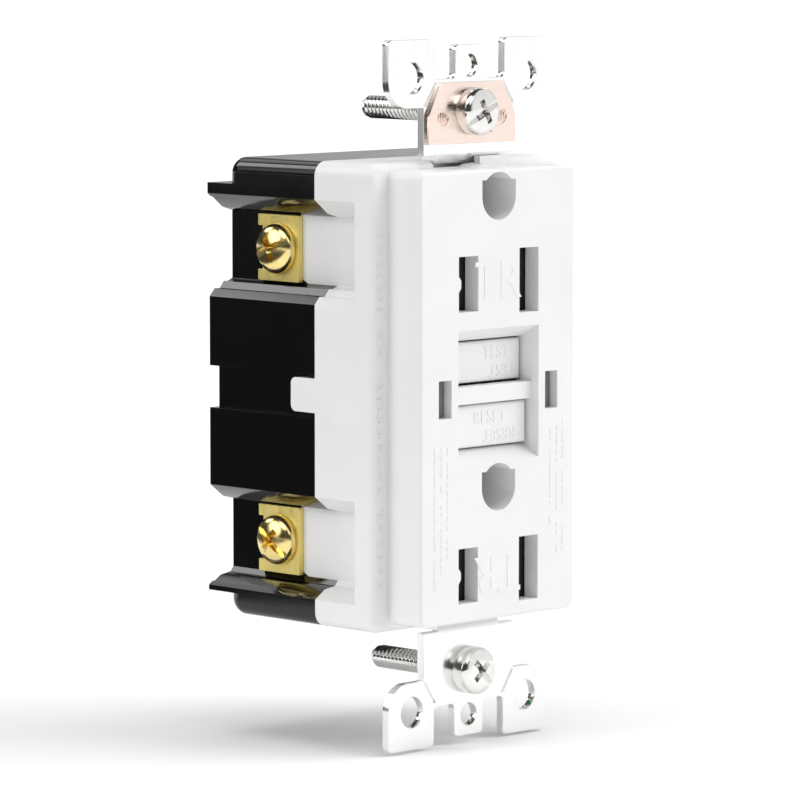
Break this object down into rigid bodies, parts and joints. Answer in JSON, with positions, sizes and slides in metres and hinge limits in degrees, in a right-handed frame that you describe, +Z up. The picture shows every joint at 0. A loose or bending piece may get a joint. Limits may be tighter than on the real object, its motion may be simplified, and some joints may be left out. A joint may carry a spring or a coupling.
{
  "type": "gfci outlet",
  "caption": "Ground-fault receptacle on a steel strap: white face with blade slots, ground holes, test and reset buttons, black back with brass side screws.",
  "frame": {"origin": "centre of the mounting strap's front plane, midway between the two cover-plate screw holes", "axes": "+X to the right seen from the front, +Y back into the wall box, +Z up along the strap; the face looks along -Y"},
  "size_m": [0.0398, 0.0416, 0.1048],
  "materials": {
    "white_plastic": "satin moulded thermoplastic",
    "black_plastic": "glossy moulded thermoplastic",
    "button_plastic": "satin moulded thermoplastic",
    "strap_steel": "zinc-plated sheet steel",
    "zinc_steel": "zinc-plated steel",
    "nickel_steel": "bright nickel-plated steel",
    "spring_steel": "drawn spring wire",
    "copper_alloy": "bright rolled copper alloy",
    "terminal_brass": "rolled brass",
    "screw_brass": "bright brass-plated steel",
    "terminal_silver": "nickel-plated brass",
    "screw_silver": "bright nickel-plated steel",
    "green_steel": "green-dyed zinc plating",
    "contact_brass": "spring brass",
    "shutter_plastic": "matt moulded nylon",
    "tray_plastic": "matt moulded thermoset",
    "carriage_plastic": "matt moulded nylon",
    "retainer_fibre": "vulcanised fibre",
    "board_laminate": "solder-masked glass laminate",
    "chip_epoxy": "moulded epoxy",
    "varistor_epoxy": "dipped epoxy",
    "capacitor_sleeve": "shrink sleeve",
    "resistor_paint": "painted ceramic",
    "ferrite": "coated magnetic core",
    "magnet_wire": "enamelled copper wire"
  },
  "bodies": {
    "root": {"front_cover": "white_plastic", "back_cover": "black_plastic", "case_screws": "zinc_steel", "mounting_strap": "strap_steel", "self_ground_clip": "copper_alloy", "test_spring": "spring_steel", "reset_spring": "spring_steel", "test_contact": "copper_alloy", "upper_shutter_spring": "spring_steel", "lower_shutter_spring": "spring_steel", "contact_tray": "tray_plastic", "hot_face_contact": "contact_brass", "neutral_face_contact": "contact_brass", "upper_ground_contact": "contact_brass", "lower_ground_contact": "contact_brass", "carriage_springs": "spring_steel", "circuit_board": "board_laminate", "line_conductors": "copper_alloy", "control_chip": "chip_epoxy", "surge_varistor": "varistor_epoxy", "filter_capacitors": "capacitor_sleeve", "rectifier_diodes": "chip_epoxy", "test_resistor": "resistor_paint", "transformer_housing": "tray_plastic", "sensing_core": "ferrite", "neutral_core": "ferrite", "solenoid_bobbin": "carriage_plastic", "solenoid_coil": "magnet_wire", "solenoid_yoke": "zinc_steel", "plunger_spring": "spring_steel", "line_hot_terminal": "terminal_brass", "line_neutral_terminal": "terminal_silver", "load_hot_terminal": "terminal_brass", "load_neutral_terminal": "terminal_silver"},
    "upper_screw_washer": {"upper_screw_retainer": "retainer_fibre"},
    "upper_screw": {"upper_mounting_screw": "nickel_steel"},
    "lower_screw_washer": {"lower_screw_retainer": "retainer_fibre"},
    "lower_screw": {"lower_mounting_screw": "nickel_steel"},
    "ground_clamp_plate": {"ground_clamp": "zinc_steel"},
    "green_screw": {"ground_screw": "green_steel"},
    "test_key": {"test_button": "button_plastic"},
    "reset_key": {"reset_button": "button_plastic", "reset_pin": "zinc_steel"},
    "upper_gate": {"upper_shutter": "shutter_plastic"},
    "lower_gate": {"lower_shutter": "shutter_plastic"},
    "carriage": {"contact_carriage": "carriage_plastic", "bridge_contacts": "copper_alloy"},
    "plunger": {"solenoid_plunger": "zinc_steel", "latch_plate": "zinc_steel"},
    "line_hot_screw_body": {"line_hot_screw": "screw_brass"},
    "line_hot_clamp_body": {"line_hot_clamp": "zinc_steel"},
    "line_neutral_screw_body": {"line_neutral_screw": "screw_silver"},
    "line_neutral_clamp_body": {"line_neutral_clamp": "zinc_steel"},
    "load_hot_screw_body": {"load_hot_screw": "screw_brass"},
    "load_hot_clamp_body": {"load_hot_clamp": "zinc_steel"},
    "load_neutral_screw_body": {"load_neutral_screw": "screw_silver"},
    "load_neutral_clamp_body": {"load_neutral_clamp": "zinc_steel"}
  },
  "joints": [
    {"name": "test_press", "type": "slide", "parent": "root", "child": "test_key", "axis": [0, 1, 0], "range_m": [0, 0.0012], "stiffness_N_per_m": 500, "springref_m": -0.001, "deforming": ["test_spring"]},
    {"name": "reset_press", "type": "slide", "parent": "root", "child": "reset_key", "axis": [0, 1, 0], "range_m": [0, 0.0015], "stiffness_N_per_m": 800, "springref_m": -0.001, "deforming": ["reset_spring"]},
    {"name": "upper_shutter_slide", "type": "slide", "parent": "root", "child": "upper_gate", "axis": [1, 0, 0], "range_m": [0, 0.003], "stiffness_N_per_m": 60, "springref_m": -0.002, "deforming": ["upper_shutter_spring"]},
    {"name": "lower_shutter_slide", "type": "slide", "parent": "root", "child": "lower_gate", "axis": [1, 0, 0], "range_m": [0, 0.003], "stiffness_N_per_m": 60, "springref_m": -0.002, "deforming": ["lower_shutter_spring"]},
    {"name": "carriage_drop", "type": "slide", "parent": "root", "child": "carriage", "axis": [0, 1, 0], "range_m": [0, 0.0016], "stiffness_N_per_m": 400, "springref_m": -0.001, "deforming": ["carriage_springs"]},
    {"name": "plunger_pull", "type": "slide", "parent": "root", "child": "plunger", "axis": [0, 0, -1], "range_m": [0, 0.002], "stiffness_N_per_m": 300, "springref_m": -0.0012, "deforming": ["plunger_spring"]},
    {"name": "upper_screw_shift", "type": "slide", "parent": "root", "child": "upper_screw_washer", "axis": [0, -1, 0], "range_m": [0, 0.0025]},
    {"name": "upper_screw_turn", "type": "hinge", "parent": "upper_screw_washer", "child": "upper_screw", "pos_m": [0, 0, 0.04167], "axis": [0, -1, 0], "continuous": true},
    {"name": "lower_screw_shift", "type": "slide", "parent": "root", "child": "lower_screw_washer", "axis": [0, -1, 0], "range_m": [0, 0.0025]},
    {"name": "lower_screw_turn", "type": "hinge", "parent": "lower_screw_washer", "child": "lower_screw", "pos_m": [0, 0, -0.04167], "axis": [0, -1, 0], "continuous": true},
    {"name": "line_hot_screw_turn", "type": "hinge", "parent": "root", "child": "line_hot_screw_body", "pos_m": [-0.0162, 0.02395, 0.02095], "axis": [-1, 0, 0], "range_deg": [0, 1080]},
    {"name": "line_hot_clamp_slide", "type": "slide", "parent": "root", "child": "line_hot_clamp_body", "axis": [1, 0, 0], "range_m": [0, 0.00238]},
    {"name": "line_neutral_screw_turn", "type": "hinge", "parent": "root", "child": "line_neutral_screw_body", "pos_m": [0.0162, 0.02395, 0.02095], "axis": [1, 0, 0], "range_deg": [0, 1080]},
    {"name": "line_neutral_clamp_slide", "type": "slide", "parent": "root", "child": "line_neutral_clamp_body", "axis": [-1, 0, 0], "range_m": [0, 0.00238]},
    {"name": "load_hot_screw_turn", "type": "hinge", "parent": "root", "child": "load_hot_screw_body", "pos_m": [-0.0162, 0.02395, -0.0228], "axis": [-1, 0, 0], "range_deg": [0, 1080]},
    {"name": "load_hot_clamp_slide", "type": "slide", "parent": "root", "child": "load_hot_clamp_body", "axis": [1, 0, 0], "range_m": [0, 0.00238]},
    {"name": "load_neutral_screw_turn", "type": "hinge", "parent": "root", "child": "load_neutral_screw_body", "pos_m": [0.0162, 0.02395, -0.0228], "axis": [1, 0, 0], "range_deg": [0, 1080]},
    {"name": "load_neutral_clamp_slide", "type": "slide", "parent": "root", "child": "load_neutral_clamp_body", "axis": [-1, 0, 0], "range_m": [0, 0.00238]},
    {"name": "ground_screw_advance", "type": "slide", "parent": "root", "child": "ground_clamp_plate", "axis": [1, 0, 0], "range_m": [0, 0.00238]},
    {"name": "ground_screw_turn", "type": "hinge", "parent": "ground_clamp_plate", "child": "green_screw", "pos_m": [0.0108, 0.0076, -0.04], "axis": [1, 0, 0], "range_deg": [0, 1080]}
  ],
  "couplings": [
    {"joint": "line_hot_screw_turn", "follows": "line_hot_clamp_slide", "rad_per_m": 7913.3},
    {"joint": "line_neutral_screw_turn", "follows": "line_neutral_clamp_slide", "rad_per_m": 7913.3},
    {"joint": "load_hot_screw_turn", "follows": "load_hot_clamp_slide", "rad_per_m": 7913.3},
    {"joint": "load_neutral_screw_turn", "follows": "load_neutral_clamp_slide", "rad_per_m": 7913.3},
    {"joint": "ground_screw_turn", "follows": "ground_screw_advance", "rad_per_m": 7913.3}
  ]
}
